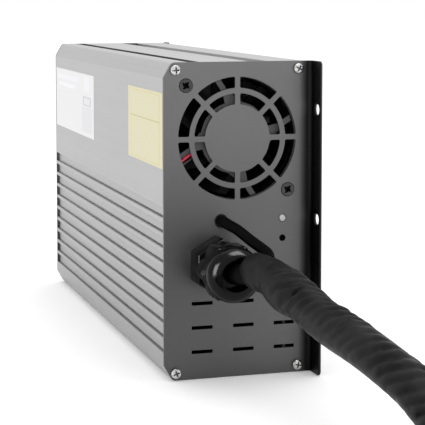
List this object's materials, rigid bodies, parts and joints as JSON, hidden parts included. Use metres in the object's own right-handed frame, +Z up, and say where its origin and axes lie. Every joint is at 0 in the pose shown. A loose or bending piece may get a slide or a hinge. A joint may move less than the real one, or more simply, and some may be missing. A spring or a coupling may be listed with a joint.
{
  "type": "battery charger",
  "caption": "Fan-cooled battery charger in a finned aluminium case that stands on its narrow side, with a sleeved output lead through a cable gland.",
  "frame": {"origin": "middle of the case's narrow bottom face, on the surface that it stands on", "axes": "+Y runs from the front plate with the fan to the rear plate, +Z up, +X to the flanges' side"},
  "size_m": [0.2016, 0.5941, 0.1488],
  "materials": {
    "finned_aluminium": "anodised, satin",
    "plain_aluminium": "anodised, satin",
    "grey_paint": "fine satin powder coat",
    "bright_screw": "nickel plated",
    "black_screw": "blackened steel",
    "black_plastic": "glossy moulded nylon",
    "dull_plastic": "moulded, dull",
    "white_lens": "milky lens",
    "red_wire": "wire insulation",
    "black_wire": "wire insulation",
    "rubber": "moulded rubber",
    "sleeve": "wrapped soft sleeve",
    "brass": "bare",
    "steel": "bare",
    "board": "solder mask",
    "ferrite": "pressed ferrite",
    "copper": "enamelled copper",
    "capacitor": "shrink sleeve on a can"
  },
  "bodies": {
    "case": {"left_shell": "finned_aluminium", "right_shell": "plain_aluminium", "front_plate": "grey_paint", "rear_plate": "grey_paint", "front_plate_screws_1": "bright_screw", "front_plate_screws_2": "bright_screw", "front_plate_screws_3": "bright_screw", "front_plate_screws_4": "bright_screw", "rear_plate_screws_1": "bright_screw", "rear_plate_screws_2": "bright_screw", "rear_plate_screws_3": "bright_screw", "rear_plate_screws_4": "bright_screw", "fan_frame": "dull_plastic", "fan_bearing": "brass", "fan_stator": "steel", "fan_screw_1": "black_screw", "fan_screw_2": "black_screw", "fan_nut_1": "steel", "fan_nut_2": "steel", "fan_wire_red": "red_wire", "fan_wire_black": "black_wire", "lamp_lens": "white_lens", "dark_lamp": "dull_plastic", "lamp_holder": "dull_plastic", "gland_body": "black_plastic", "gland_nut": "black_plastic", "gland_seal": "rubber", "gland_locknut": "black_plastic", "lead_core": "black_wire", "lead_sleeve": "sleeve", "lead_coil": "sleeve", "lead_connector": "dull_plastic", "connector_contact_1": "brass", "connector_contact_2": "brass", "signal_cable": "black_wire", "signal_grommet": "rubber", "mains_inlet": "dull_plastic", "inlet_pin_1": "brass", "inlet_pin_2": "brass", "inlet_pin_3": "brass", "inlet_screw_1": "bright_screw", "inlet_screw_2": "bright_screw", "circuit_board": "board", "input_capacitor_1": "capacitor", "input_capacitor_2": "capacitor", "output_capacitor_1": "capacitor", "output_capacitor_2": "capacitor", "transformer_core": "ferrite", "transformer_winding": "copper", "ring_choke": "copper", "heat_bar": "plain_aluminium", "power_transistor_1": "dull_plastic", "power_transistor_2": "dull_plastic", "bridge_rectifier": "dull_plastic", "fuse": "steel", "mains_wire_live": "black_wire", "mains_wire_neutral": "black_wire", "output_wire_positive": "red_wire", "output_wire_negative": "black_wire"},
    "fan_rotor": {"fan_rotor": "dull_plastic"}
  },
  "joints": [
    {"name": "fan_spin", "type": "hinge", "parent": "case", "child": "fan_rotor", "pos_m": [-0.00099, -0.114, 0.11295], "axis": [0, 1, 0], "continuous": true}
  ]
}
